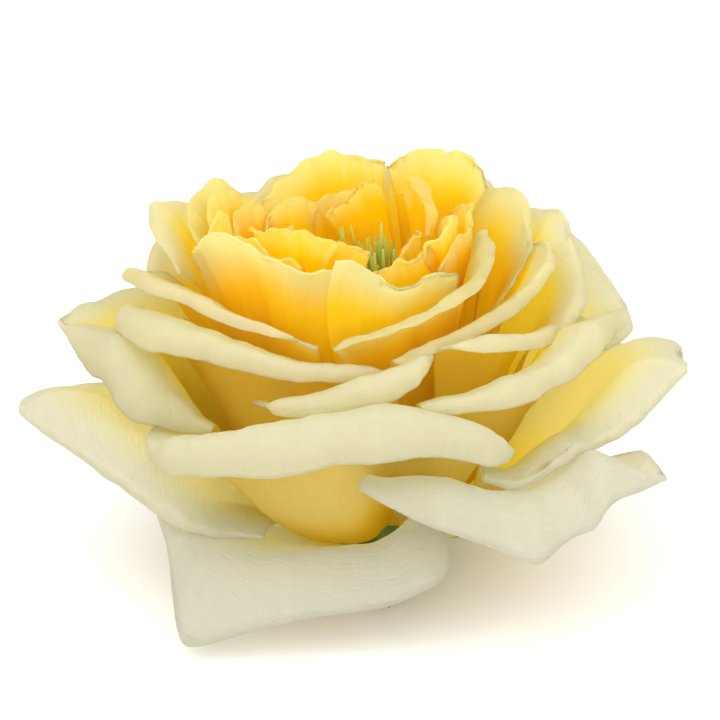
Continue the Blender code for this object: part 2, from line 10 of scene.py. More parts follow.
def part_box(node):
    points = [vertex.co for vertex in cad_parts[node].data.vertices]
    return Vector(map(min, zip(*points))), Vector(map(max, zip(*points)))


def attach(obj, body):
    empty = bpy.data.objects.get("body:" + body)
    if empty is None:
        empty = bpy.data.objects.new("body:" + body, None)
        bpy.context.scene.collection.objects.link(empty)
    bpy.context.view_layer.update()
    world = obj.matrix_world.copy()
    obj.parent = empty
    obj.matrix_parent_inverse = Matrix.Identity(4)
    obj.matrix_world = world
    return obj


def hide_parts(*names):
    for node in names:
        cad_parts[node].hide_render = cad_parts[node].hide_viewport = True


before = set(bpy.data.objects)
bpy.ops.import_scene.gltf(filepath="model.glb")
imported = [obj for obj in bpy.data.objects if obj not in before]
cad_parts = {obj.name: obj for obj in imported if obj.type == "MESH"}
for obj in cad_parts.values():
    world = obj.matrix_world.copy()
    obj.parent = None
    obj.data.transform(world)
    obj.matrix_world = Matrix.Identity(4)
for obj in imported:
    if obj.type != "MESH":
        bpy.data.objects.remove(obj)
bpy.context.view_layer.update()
mm = 0.001

# the receptacle and the way the petals sit on it, in millimetres and degrees
bloom = dict(leanLeft=7, domeRadius=7.5, domeHeight=18, hipLowAngle=120, neckRadius=3.2, neckEnd=-11.5,
             seatGap=.3, outerClaw=104, innerClaw=24, sepalClaw=114, clawAngles=(24, 60),
             clawHalfWidths=(1.1, 2.4), widestClaw=.9, clawPull=.35, rimPull=.3, spread=.85,
             flapLength=2.2, fullRoll=110, rollEase=1.9, calmRounds=2)
# how petals lie on each other: gap between middle surfaces, rounds of settling; longRoll is in degrees
nesting = dict(gap=1.1, wrongSide=15, sameSide=1, rounds=4, smoothing=6, spanSteps=2, ribSteps=4,
               rollSteps=3, longRoll=70, arcPieces=4)
# fineness and wall of the finished petals
fine = dict(spanSteps=10, ribSteps=26, rollSteps=12, shortRollSteps=4, thickness=.25)

# petals, outermost first. A crest lists the points of the rim: azimuth, radius, height, size of the roll
# there and how sharp a point is. face is 90 where the petal reaches its rim level and 0 where it stands
# up, roll is the turn past the rim, start the droop at the claw, the pulls keep its direction at the ends
petals = {
    "guard_petal_front_left": dict(az=-113, crest=[(-153, 40.5, 13, 1.2), (-147, 38.5, 9.5, 4.4),
        (-135, 37, 7.2, 14.8, .5), (-125, 35, 7, 11.4), (-114, 32, 6.4, 9.4), (-101, 29.5, 6, 8.4),
        (-87, 28, 6, 8), (-77, 26.5, 7, 7), (-70, 24.5, 8.5, 3.5)
        ], face=95, roll=60, start=-36, clawPull=.42),
    "guard_petal_front_right": dict(az=-50, crest=[(-93, 35, 21.2, 1), (-83, 38, 21.2, 3.8),
        (-73, 39, 20, 6.2), (-62, 40.5, 17.2, 7.7), (-54.5, 42, 15.8, 9.8, .6), (-49, 43, 15.5, 7.6),
        (-43.5, 44.5, 16.5, 7.8), (-38.5, 46.8, 19.2, 7.4), (-33.4, 51, 16.6, 4.2),
        (-29, 54.3, 13, .6, .8), (-20, 47, 13, .5)], face=95, roll=60, start=-20, clawPull=.45),
    "guard_petal_back_left": dict(az=132, crest=[(98, 26, 6, 1), (112, 42, 0, 2.4),
        (130, 46, -3.6, 2, .6), (148, 40, 1, 2), (164, 28, 8, 1)], face=110, roll=100),
    "guard_petal_left": dict(az=-165, crest=[(-214, 38, 13, .5), (-198, 47.5, 20.5, 1.2),
        (-182, 54.5, 26.4, 1.2), (-168, 57.8, 31.4, .6, .8), (-158, 51, 26.4, 1.5), (-151, 46, 21.8, 1.8),
        (-146.5, 42, 17, 1.8), (-142.5, 37.5, 12, 1.4, .4), (-138, 33, 8.8, .8), (-131, 29.5, 6.8, .5)
        ], face=118, roll=75, start=-38, clawPull=.42),
    "guard_petal_back_right": dict(az=48, crest=[(14, 27, 0, .8), (28, 40, -6, 2), (46, 48, -12, 1.6, .6),
        (62, 43, -7, 2.4), (78, 28, -1, .8)], face=125, roll=100),
    "outer_petal_right": dict(az=-18, crest=[(-60, 36, 19, .5), (-53, 39.5, 17.5, 1.2),
        (-44, 42.5, 19, 1.8), (-35, 45.5, 20.5, 2), (-29, 49.5, 24, 1.8), (-22, 56, 29.5, .6, .8),
        (-6, 53, 26, 1.4), (10, 50, 21, 1.6), (26, 46, 15, 1.2), (38, 38, 12, .5)
        ], face=115, roll=75, start=-14, clawPull=.5),
    "outer_petal_back": dict(az=88, crest=[(50, 34, 20, .6), (64, 46, 23, 2), (86, 52, 22, 1.6, .6),
        (108, 46, 24, 2), (124, 34, 22, .6)], face=100, roll=95, clawPull=.5),
    "outer_petal_back_left": dict(az=152, crest=[(118, 31, 26, .5), (134, 45, 29.5, 1.6),
        (152, 52, 27, 1.2, .6), (170, 47, 26, 1.6), (184, 39.5, 20, .5)], face=100, roll=95, clawPull=.5),
    "outer_petal_front": dict(az=-97, crest=[(-160, 40, 21.5, .5), (-154, 41.5, 24.5, 1.8),
        (-146, 41.8, 28, 3), (-138, 41.8, 30.8, 3.6), (-128, 41.6, 33, 4), (-117, 41.5, 34.8, 4.1),
        (-103, 41.5, 35.8, 4.2), (-90, 41.5, 35.2, 4.2), (-77, 41.5, 33, 4), (-64, 41, 29.4, 3.4),
        (-56.5, 40.6, 25.8, 2.6), (-51.5, 38.4, 22.2, 1)], face=84, roll=105, start=-1, clawPull=.62),
    "outer_petal_back_right": dict(az=43, crest=[(12, 42, 17, .5), (18, 47, 20, 1.2),
        (24, 49.4, 22, .5, .8), (28, 46.5, 29, 1.2), (33, 45, 34, 1.4), (42, 44.5, 36, 2),
        (56, 46, 33, 2), (70, 38, 29, .8)], face=80, roll=80, clawPull=.5),
    "fold_petal_left": dict(az=-178, crest=[(-214, 36, 35.5, .5), (-202, 43, 37, 1.2),
        (-191, 48, 38, 1.4), (-181, 51.4, 39.2, .7, .7), (-171, 45, 40.5, 3.4), (-161, 41, 41.6, 4.4),
        (-155.5, 38.8, 37.4, 4.6), (-152, 36, 32.4, 4.2), (-148.5, 33.8, 28.2, 2.6), (-145, 31.5, 26, .6)
        ], face=86, roll=105, clawPull=.5, rimPull=.24),
    "fold_petal_back": dict(az=112, crest=[(76, 34, 35, .5), (92, 43, 37, 1.8), (112, 45, 38, 2, .5),
        (130, 43, 38, 1.8), (146, 34, 37, .5)], face=84, roll=100, clawPull=.5),
    "fold_petal_right": dict(az=-33, crest=[(-74, 35, 33.5, .5), (-66, 36, 34, 1.2), (-56, 37, 34.5, 2.2),
        (-46, 38.5, 35, 2.6), (-36, 40.5, 36, 2.8), (-27, 42, 38, 2.6), (-18, 42.5, 36.5, 1.8, .4),
        (-8, 41, 33, 1.2), (4, 36, 30, .5)], face=84, roll=105, clawPull=.45),
    "fold_petal_front": dict(az=-100, crest=[(-128, 29, 33.2, .4), (-114, 33, 36, 1.2),
        (-98, 34.2, 38, 2.2), (-84, 34.3, 40.4, 2.7), (-74, 33, 41.5, 2.4, .3), (-68.5, 30.5, 40.5, 1.4),
        (-64.5, 28.4, 38.8, .5)], face=84, roll=105, clawPull=.45),
    "fold_petal_back_right": dict(az=26, crest=[(-22, 33, 33, .5), (-10, 35.5, 35.2, 1.2),
        (2, 36.5, 38.3, 1.4), (13, 36.8, 42.3, 1.4), (21, 37.4, 45.3, 1.1, .5), (32, 37, 43.2, 1.2),
        (42, 36, 41, 1.2), (56, 36, 38, .6)], face=70, roll=85, clawPull=.45),
    "collar_petal_left": dict(az=-142, crest=[(-192, 30, 36, .5), (-178, 38, 42, 1.4, .3),
        (-165, 38.5, 46, 2.4), (-152, 36.5, 46.8, 2.8), (-138, 32.6, 46, 2.8), (-124, 29.8, 43.8, 2.6),
        (-108, 28.3, 41.2, 2.1), (-92, 27.3, 39.2, 1.3), (-80, 26.3, 37, .4)
        ], face=80, roll=105, clawPull=.45),
    "collar_petal_right": dict(az=-38, crest=[(-63, 30, 40.8, .3), (-54, 32, 40.8, .9),
        (-44, 34, 39.8, 1.4), (-33, 35.5, 37.8, 1.5), (-23, 35.5, 35.5, 1), (-17, 33, 34, .4)
        ], face=78, roll=105, clawPull=.45),
    "collar_petal_back": dict(az=66, crest=[(30, 32, 39.5, .5), (44, 37, 43, 1.5),
        (64, 39, 44.5, 1.6, .5), (86, 37, 44, 1.5), (106, 30, 41, .5)], face=74, roll=95),
    "collar_petal_back_left": dict(az=134, crest=[(100, 28, 45.5, .5), (114, 33, 47, 1.4),
        (134, 38, 46, 1.5, .6), (150, 37, 45.5, 1.5), (163, 35.5, 44, 1.2),
        (175, 32.5, 42.5, .5)], face=70, roll=95, clawPull=.4),
    "cup_petal_left": dict(az=-155, crest=[(-192, 33, 44, .5), (-181, 37.5, 48, 1.1),
        (-166, 34, 50.5, 1.4), (-148, 29.5, 49.8, 1.5), (-130, 26.5, 46.8, 1.3), (-117, 25, 44.5, .8),
        (-104, 24.3, 42, .3)], face=62, roll=100, clawPull=.4),
    "cup_petal_back_left": dict(az=162, crest=[(138, 29, 48, .4), (147, 31, 51, .7),
        (156, 32.4, 53.8, .9), (165, 33.1, 56, .9, .3), (175, 31, 53.6, .9), (184, 29.2, 51.3, .8),
        (191, 28.6, 49.2, .4)], face=50, roll=70, clawPull=.4),
    "cup_petal_front_right": dict(az=-38, crest=[(-77, 26, 38.1, .4), (-64, 26.5, 39.5, 1),
        (-46, 26.6, 40.6, 1.4), (-32, 27.6, 41.2, 1.5), (-18, 29.6, 42, 1.4), (-10, 32, 44.2, 1.3, .3),
        (-2, 32.3, 44, 1.2), (7, 32, 43.9, 1, .3), (16, 31, 42, .5)], face=60, roll=105, clawPull=.4),
    "cup_petal_back": dict(az=96, crest=[(58, 28, 46.5, .5), (76, 31, 48.5, 1.4), (96, 32, 49.5, 1.2, .4),
        (116, 30.5, 49.5, 1.4), (132, 26, 49, .5)], face=50, roll=90),
    "cup_petal_right": dict(az=14, crest=[(-20, 25.3, 39.7, .4), (-10, 26.7, 41.6, .8),
        (5, 29.5, 43.2, 1), (18, 31, 45.6, 1, .2), (27, 31, 49.4, .9, .4), (35, 29.5, 48.3, .9),
        (46, 28, 48.3, .8), (57, 26, 47.5, .4)], face=44, roll=75, clawPull=.38),
    "cup_petal_front": dict(az=-56, crest=[(-98, 24.5, 41.2, .4), (-84, 24.5, 43.5, 1),
        (-72, 24.5, 44.7, 1.5), (-54, 24.5, 45.4, 1.6), (-38, 24.3, 45.8, 1.4), (-22, 22.8, 45.4, .9),
        (-8, 22, 46.2, .8), (4, 21.8, 47.6, .5)], face=40, roll=90),
    "heart_petal_front_right": dict(az=-70, crest=[(-94, 22.6, 55.4, .5), (-88, 22.4, 54.6, .8),
        (-78, 22.2, 51.8, .9), (-67, 22, 49.2, 1), (-57, 22, 49.5, 1.1), (-44, 21.8, 48.2, 1),
        (-31, 21.3, 45.2, .5)], face=12, roll=40),
    "heart_petal_front_left": dict(az=-138, crest=[(-174, 26.5, 48.8, .5), (-167, 27.4, 51.2, .8, .2),
        (-157, 28, 53.8, 1), (-143, 27.6, 57.4, 1.2), (-130, 24.8, 58.1, 1.2), (-118, 23.5, 56, 1.1),
        (-109, 22.8, 52.8, 1), (-100, 22.2, 52, .8), (-93, 21.4, 51.5, .5)], face=14, roll=50),
    "cup_petal_left_inner": dict(az=156, crest=[(130, 24, 50.5, .4), (140, 24.7, 54, .8),
        (150, 25.2, 57.4, .9, .3), (161, 25.9, 56.6, .9), (172, 26.2, 54.6, .8), (183, 25, 52, .4)
        ], face=24, roll=55),
    "heart_petal_back_right": dict(az=52, crest=[(31, 28, 50, .4), (37, 29.6, 52, .7, .3),
        (44, 30.2, 53, .9), (52, 29.6, 52.9, .9), (60, 28.5, 54, .9, .3), (68, 27, 53, .8),
        (76, 26.8, 51.2, .4)], face=24, roll=50),
    "heart_petal_back": dict(az=102, crest=[(76, 25.8, 52.4, .4), (86, 26.6, 53.4, .8),
        (97, 26.6, 53.6, .9), (107, 26, 53.2, .9), (113, 25.6, 52.2, .9, .4), (120, 25, 50.8, .8),
        (131, 24, 50.2, .4)], face=20, roll=50),
    "heart_petal_left": dict(az=166, crest=[(146, 19.5, 53, .5), (156, 21.4, 55.8, .8),
        (166, 22.3, 56.9, .9, .3), (177, 22.3, 55.4, .8), (188, 20.5, 52.5, .5)], face=10, roll=45),
    "heart_petal_right": dict(az=4, crest=[(-34, 17.5, 46, .5), (-22, 20, 49.6, .7), (-10, 21, 49.5, .9),
        (4, 21.5, 49, .9), (20, 22.5, 50, .9, .4), (34, 20.5, 47.5, .5)], face=10, roll=45),
    "heart_petal_front": dict(az=-144, crest=[(-178, 25, 54, .4), (-170, 25.2, 56.4, .7, .3),
        (-163, 24, 56, .8), (-151, 22.2, 57.8, .9), (-139, 20.4, 56.8, .9), (-126, 19.8, 55, .8),
        (-113, 19.8, 52.6, .5)], face=8, roll=45),
    "inner_petal_back": dict(az=98, crest=[(73, 17.8, 52.2, .4), (80, 17.6, 51, .7, .2),
        (90, 17.6, 50.6, .8), (102, 16.8, 50.3, .8), (113, 15.6, 50, .7), (124, 14.4, 49.4, .4)
        ], face=8, roll=40),
    "inner_petal_left": dict(az=-178, crest=[(140, 14.6, 50.6, .4), (150, 16.8, 52.6, .7),
        (160, 18, 54.6, .8), (172, 18.4, 55.2, .8, .3), (186, 17.6, 53.4, .8), (200, 16.4, 53.4, .4)
        ], face=6, roll=40),
    "inner_petal_right": dict(az=-10, crest=[(-38, 15.5, 48, .4), (-30, 18.4, 52.4, .7),
        (-20, 18.5, 53.4, .8, .3), (-6, 18.5, 50.5, .9), (8, 17.4, 50.6, .8), (20, 15.8, 47.5, .4)
        ], face=8, roll=45),
    "inner_petal_back_left": dict(az=142, crest=[(116, 16, 49.5, .4), (128, 17, 51.4, .8),
        (142, 16.4, 52.4, .8), (154, 15.5, 52.4, .8), (166, 14.4, 51, .4)], face=8, roll=40),
    "inner_petal_front": dict(az=-128, crest=[(-160, 17, 54.6, .4), (-152, 17.2, 56.3, .7),
        (-138, 17.2, 57.2, .8), (-122, 16.8, 58, .8), (-113, 16.4, 59, .8, .2), (-105, 16, 57, .8),
        (-96, 15.6, 54.4, .5)], face=6, roll=40),
    "inner_petal_curled": dict(az=30, crest=[(8, 13.5, 47.5, .5), (17, 15.4, 50.5, 1.2),
        (28, 16, 53, 1.7), (40, 15.8, 53.3, 1.7), (50, 14.5, 51.8, .8)], face=4, roll=-95),
    "inner_petal_front_right": dict(az=-46, crest=[(-74, 13.5, 49.5, .4), (-62, 15.4, 50, .8),
        (-48, 15.8, 49.6, .8, .3), (-36, 15.8, 50, .8), (-22, 15, 50, .4)], face=6, roll=40),
    "inner_petal_pointed": dict(az=90, crest=[(64, 11, 55.2, .3), (72, 11.4, 54.8, .5),
        (84, 11, 53.4, .6), (98, 10.4, 51.8, .6), (112, 10, 50.2, .3)], face=4, roll=20),
    "centre_petal_left": dict(az=178, crest=[(150, 9.4, 49, .4), (163, 10.4, 51, .7),
        (179, 10.6, 52, .8, .3), (194, 10.2, 51, .7), (206, 9.4, 49.5, .4)], face=4, roll=30),
    "centre_petal_front": dict(az=-100, crest=[(-134, 10, 52, .4), (-120, 11.5, 54, .7),
        (-102, 11.7, 54.4, .8), (-86, 11, 53, .7), (-70, 10.5, 51, .4)], face=4, roll=30),
    "centre_petal_right": dict(az=-10, crest=[(-44, 9.5, 47.5, .4), (-28, 10.8, 49, .7),
        (-10, 11.4, 50, .8), (8, 11, 49, .7), (22, 10, 47, .4)], face=4, roll=35),
}

# five leaflets under the petals: azimuth, reach and height of each tip
sepals = {"sepal_front": (-92, 18, -10), "sepal_right": (5, 15, -8), "sepal_back_right": (52, 21, -9),
          "sepal_back_left": (124, 21, -9), "sepal_left": (196, 19, -6)}


# shape of a petal
def unit(v):
    return v / np.linalg.norm(v)


def onCylinder(azimuth, radius, height):
    angle = math.radians(azimuth)
    return [radius * math.cos(angle), radius * math.sin(angle), height]


# a sepal's feet and shoulders lie on both sides of its tip; shoulderReach is a share of the tip's
sepalShape = dict(footTurn=24, footReach=9, footRise=2.5, footRoll=.5, shoulderTurn=15, shoulderReach=.62,
                  shoulderRise=1.5, shoulderRoll=.6, tipRoll=.5, tipSharpness=.9, face=95, roll=25,
                  clawPull=.3)


def sepalLook(az, reach, height):
    s = sepalShape
    foot = (s["footReach"], height + s["footRise"], s["footRoll"])
    shoulder = (reach * s["shoulderReach"], height + s["shoulderRise"], s["shoulderRoll"])
    crest = [(az - s["footTurn"], *foot), (az - s["shoulderTurn"], *shoulder),
             (az, reach, height, s["tipRoll"], s["tipSharpness"]),
             (az + s["shoulderTurn"], *shoulder), (az + s["footTurn"], *foot)]
    return dict(az=az, crest=crest, face=s["face"], roll=s["roll"], clawPull=s["clawPull"])


def smoothRun(points, sharpness, steps):  # a curve through the points; a sharp one keeps its corner
    gap = np.linalg.norm(np.diff(points[:, :3], axis=0), axis=1)
    slope = np.diff(points, axis=0) / gap[:, None]
    tangent = np.empty_like(points)
    tangent[1:-1] = slope[1:] * gap[:-1, None] + slope[:-1] * gap[1:, None]
    tangent[1:-1] /= (gap[1:] + gap[:-1])[:, None]
    tangent[0] = 1.5 * slope[0] - 0.5 * tangent[1]
    tangent[-1] = 1.5 * slope[-1] - 0.5 * tangent[-2]
    tangent *= (1 - sharpness)[:, None]
    run = []
    for i, span in enumerate(gap):
        for k in range(steps):
            t = k / steps
            held = (2 * t**3 - 3 * t**2 + 1) * points[i] + (3 * t**2 - 2 * t**3) * points[i + 1]
            turned = (t**3 - 2 * t**2 + t) * tangent[i] + (t**3 - t**2) * tangent[i + 1]
            run.append(held + span * turned)
    run.append(points[-1])
    return np.array(run)


def rimDirections(points, steps):  # the way the rim runs, evened out so that ribs don't cross
    padded = np.vstack([points[:1], points, points[-1:]])
    chord = padded[2:] - padded[:-2]
    for _ in range(bloom["calmRounds"]):
        padded = np.vstack([chord[:1], chord, chord[-1:]])
        chord = (padded[:-2] + 2 * padded[1:-1] + padded[2:]) / 4
    count = len(points) - 1
    places = np.linspace(0, count, count * steps + 1)
    return np.array([np.interp(places, np.arange(count + 1), chord[:, k]) for k in range(3)]).T


def clawPoint(azimuth, beta):
    ring = (bloom["domeRadius"] + bloom["seatGap"]) * math.sin(beta)
    height = (bloom["domeHeight"] + bloom["seatGap"]) * math.cos(beta)
    return np.array([ring * math.cos(azimuth), ring * math.sin(azimuth), height])


# an uneven margin: change of the roll, height of the long swell, and how much closer the small one comes
marginLook = dict(roll=1.2, swell=2.4, closer=2.6)


# a row of the grid is a rib, from the claw up to the rim and over it; fringe makes the turned margin uneven
def petalGrid(look, clawAngle, spanSteps, ribSteps, rollSteps, arcPieces, fringe=0, wave=1, seed=0):
    points = np.array([[*onCylinder(*c[:3]), c[3]] for c in look["crest"]])
    sharpness = np.array([c[4] if len(c) > 4 else 0 for c in look["crest"]])
    run = smoothRun(points, sharpness, spanSteps)
    along = rimDirections(points[:, :3], spanSteps)
    beta = math.radians(clawAngle)
    halfWidth = np.interp(clawAngle, bloom["clawAngles"], bloom["clawHalfWidths"])
    clawTurn = min(halfWidth / (bloom["domeRadius"] * math.sin(beta)), bloom["widestClaw"])
    centre = math.radians(look["az"])
    leave = beta + math.radians(look.get("start", 0))
    face = math.radians(look["face"])
    roll = math.radians(abs(look["roll"]))
    side = math.copysign(1, look["roll"])
    flap = bloom["flapLength"] * min(1, abs(look["roll"]) / bloom["fullRoll"])
    travelled = np.concatenate([[0], np.cumsum(np.linalg.norm(np.diff(run[:, :3], axis=0), axis=1))])
    grid = []
    for i, (x, y, z, rho) in enumerate(run):
        place = travelled[i]
        rho *= 1 + fringe * marginLook["roll"] * noise.noise((place / wave, seed, 0))
        swell = marginLook["swell"] * noise.noise((place / wave, seed, 9))
        edge = fringe * (swell + noise.noise((place / wave * marginLook["closer"], seed, 4)))
        claw = clawPoint(centre + (2 * i / (len(run) - 1) - 1) * clawTurn, beta)
        spread = centre + bloom["spread"] * math.remainder(math.atan2(y, x) - centre, math.tau)
        level = math.sin(leave)
        launch = np.array([math.cos(spread) * level, math.sin(spread) * level, math.cos(leave)])
        tip = np.array([x, y, z])
        facing = np.array([0, 0, math.sin(face)]) - unit(np.array([x, y, 0])) * math.cos(face)
        arrive = unit(np.cross(along[i], facing))
        inside = unit(np.cross(arrive, along[i]))
        if inside @ facing < 0:
            inside = -inside
        tip = tip + arrive * edge
        reach = np.linalg.norm(tip - claw)
        one = claw + look.get("clawPull", bloom["clawPull"]) * reach * launch
        two = tip - look.get("rimPull", bloom["rimPull"]) * reach * arrive
        rib = []
        for t in np.linspace(0, 1, ribSteps + 1):
            rib.append((1 - t)**3 * claw + 3 * (1 - t)**2 * t * one + 3 * (1 - t) * t**2 * two + t**3 * tip)
        here = tip
        pieces = rollSteps * arcPieces
        for k in range(pieces):
            bend = roll * (1 - (1 - (k + .5) / pieces)**bloom["rollEase"])
            here = here + (math.cos(bend) * arrive - side * math.sin(bend) * inside) * rho * flap / pieces
            if k % arcPieces == arcPieces - 1:
                rib.append(here)
        grid.append(rib)
    return np.array(grid)


# nesting: each petal leans in until it lies inside the ones before it
def fanDirection(point):
    radius = math.hypot(point[0], point[1])
    outward = np.array([point[0], point[1], 0]) / max(radius, .01)
    return unit(np.array([0, 0, radius]) - outward * max(point[2], 0))


def leanIn(grid, field):
    moved = grid.copy()
    for i, j in np.argwhere(field > 0):
        moved[i, j] += fanDirection(grid[i, j]) * field[i, j]
    return moved


def gridTree(grid):
    across, along = grid.shape[:2]
    faces = []
    for i in range(across - 1):
        for j in range(along - 1):
            corner = i * along + j
            faces.append((corner, corner + along, corner + along + 1, corner + 1))
    return BVHTree.FromPolygons([Vector(p) for p in grid.reshape(-1, 3)], faces)


def sameSide(a, b):
    turn = math.remainder(math.atan2(a[1], a[0]) - math.atan2(b[1], b[0]), math.tau)
    return abs(turn) < nesting["sameSide"]


def probe(tree, point, inward):
    hit, _, face, gap = tree.ray_cast(point, inward, nesting["wrongSide"])
    if hit is not None and sameSide(point, hit):
        return gap + nesting["gap"], face
    hit, _, face, gap = tree.ray_cast(point, -inward, nesting["gap"])
    if hit is not None:
        return nesting["gap"] - gap, face
    return 0, None


def crowding(grid, outer):
    need = np.zeros(grid.shape[:2])
    ownTree = gridTree(grid)
    facesAlong = grid.shape[1] - 1
    for tree, points in outer:
        for i in range(grid.shape[0]):
            for j in range(1, grid.shape[1]):
                lack, _ = probe(tree, Vector(grid[i, j]), Vector(fanDirection(grid[i, j])))
                need[i, j] = max(need[i, j], lack)
        for point in points:
            lack, face = probe(ownTree, Vector(point), -Vector(fanDirection(point)))
            if lack:
                i, j = divmod(face, facesAlong)
                near = np.s_[i:i + 2, max(j, 1):j + 2]
                need[near] = np.maximum(need[near], lack)
    return need


def tuckField(grid, outer):
    ribs = nesting["ribSteps"]
    held = np.zeros(grid.shape[:2])
    field = held
    for _ in range(nesting["rounds"] if outer else 0):
        need = crowding(leanIn(grid, field), outer)
        held = np.maximum(held, np.where(need > 0, field + need, 0))
        held[:, ribs:] = held[:, ribs:].max(axis=1)[:, None]
        field = held.copy()
        for _ in range(nesting["smoothing"]):
            padded = np.pad(field, 1, mode="edge")
            mean = (padded[:-2, 1:-1] + padded[2:, 1:-1] + padded[1:-1, :-2] + padded[1:-1, 2:]) / 4
            field = np.maximum(held, mean)
            field[:, 0] = 0
            field[:, ribs:] = field[:, ribs:].max(axis=1)[:, None]
    return field


def fineField(field, rolls, shape):  # the coarse lean spread over the fine grid
    ribs = nesting["ribSteps"]
    rows = np.linspace(0, field.shape[0] - 1, shape[0])
    columns = np.concatenate([np.linspace(0, ribs, fine["ribSteps"] + 1),
                              np.linspace(ribs, ribs + rolls, shape[1] - fine["ribSteps"])[1:]])
    r = np.minimum(rows.astype(int), field.shape[0] - 2)
    c = np.minimum(columns.astype(int), field.shape[1] - 2)
    fr = (rows - r)[:, None]
    fc = (columns - c)[None, :]
    lower = field[np.ix_(r, c)] * (1 - fc) + field[np.ix_(r, c + 1)] * fc
    upper = field[np.ix_(r + 1, c)] * (1 - fc) + field[np.ix_(r + 1, c + 1)] * fc
    return lower * (1 - fr) + upper * fr


# where the bloom stands: lean it, then put it where the solids are
lean = Matrix.Rotation(math.radians(-bloom["leanLeft"]), 3, "Y")
leanRows = np.array(lean)


def clawAngleOf(depth):
    return bloom["outerClaw"] + (bloom["innerClaw"] - bloom["outerClaw"]) * depth


def layPetals():  # the settled coarse grids and their leaning fields, outermost first
    looks = {name: (sepalLook(*tip), None) for name, tip in sepals.items()}
    looks.update({name: (look, i / (len(petals) - 1)) for i, (name, look) in enumerate(petals.items())})
    laid = {}
    outer = []
    for name, (look, depth) in looks.items():
        clawAngle = bloom["sepalClaw"] if depth is None else clawAngleOf(depth)
        rolls = nesting["rollSteps"] if abs(look["roll"]) > nesting["longRoll"] else 1
        grid = petalGrid(look, clawAngle, nesting["spanSteps"], nesting["ribSteps"], rolls,
                         nesting["arcPieces"])
        field = tuckField(grid, outer)
        grid = leanIn(grid, field)
        outer.append((gridTree(grid), grid[:, 1:].reshape(-1, 3)))
        laid[name] = dict(look=look, depth=depth, clawAngle=clawAngle, rolls=rolls, field=field, grid=grid)
    return laid


def footOf(laid):  # how far the leaning bloom has to move to lie where its solids lie
    moves = []
    for name, one in laid.items():
        low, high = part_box(name)
        points = one["grid"].reshape(-1, 3) @ leanRows.T
        moves.append(np.array(low + high) / 2 / mm - (points.min(0) + points.max(0)) / 2)
    return np.median(moves, axis=0)


laid = layPetals()
foot = footOf(laid)
print("petals nested, the middle of the receptacle is at", foot.round(2), "mm")


def toRow(points):  # from the bloom's own millimetres to the row frame in metres
    return (points @ leanRows.T + foot) * mm


# tones, skins and their nodes
def mixTone(a, b, share):
    return [a[c] + (b[c] - a[c]) * share for c in range(3)]


def newSkin(name, roughness, sheen=0, subsurface=0, radius=(1, 1, 1), scale=.001, specular=.4,
            sheenRoughness=.45):
    skin = bpy.data.materials.new(name)
    skin.use_nodes = True
    shader = skin.node_tree.nodes["Principled BSDF"]
    shader.inputs["Roughness"].default_value = roughness
    shader.inputs["Specular IOR Level"].default_value = specular
    shader.inputs["Sheen Weight"].default_value = sheen
    shader.inputs["Sheen Roughness"].default_value = sheenRoughness
    shader.inputs["Subsurface Weight"].default_value = subsurface
    shader.inputs["Subsurface Radius"].default_value = radius
    shader.inputs["Subsurface Scale"].default_value = scale
    return skin


def addNode(skin, kind, **values):
    node = skin.node_tree.nodes.new(kind)
    for key, value in values.items():
        setattr(node, key, value)
    return node


def link(skin, source, target):
    skin.node_tree.links.new(source, target)


def mathNode(skin, operation, a, b):
    node = addNode(skin, "ShaderNodeMath", operation=operation)
    for socket, value in zip(node.inputs, (a, b)):
        if isinstance(value, (int, float)):
            socket.default_value = value
        else:
            link(skin, value, socket)
    return node.outputs[0]


def noiseNode(skin, coordinates, scale, detail=3, stretch=None, roughness=.5):
    if stretch:
        mapping = addNode(skin, "ShaderNodeMapping")
        mapping.inputs["Scale"].default_value = stretch
        link(skin, coordinates, mapping.inputs["Vector"])
        coordinates = mapping.outputs[0]
    node = addNode(skin, "ShaderNodeTexNoise")
    node.inputs["Scale"].default_value = scale
    node.inputs["Detail"].default_value = detail
    node.inputs["Roughness"].default_value = roughness
    link(skin, coordinates, node.inputs["Vector"])
    return node.outputs["Fac"]


def rampNode(skin, factor, stops):
    node = addNode(skin, "ShaderNodeValToRGB")
    ramp = node.color_ramp
    ramp.interpolation = "EASE"
    ramp.elements[0].position, ramp.elements[1].position = stops[0][0], stops[-1][0]
    for place, tone in stops[1:-1]:
        ramp.elements.new(place)
    for element, (place, tone) in zip(ramp.elements, stops):
        element.color = (*tone, 1)
    link(skin, factor, node.inputs[0])
    return node.outputs[0]


def blendNode(skin, factor, a, b, blend="MIX"):
    node = addNode(skin, "ShaderNodeMix", data_type="RGBA", blend_type=blend)
    for socket, value in ((node.inputs[0], factor), (node.inputs[6], a), (node.inputs[7], b)):
        if isinstance(value, (int, float)):
            socket.default_value = value
        elif isinstance(value, (tuple, list)):
            socket.default_value = (*value, 1)
        else:
            link(skin, value, socket)
    return node.outputs[2]


def bumpNode(skin, height, distance, below=None):
    node = addNode(skin, "ShaderNodeBump")
    node.inputs["Distance"].default_value = distance
    link(skin, height, node.inputs["Height"])
    if below:
        link(skin, below, node.inputs["Normal"])
    return node.outputs[0]


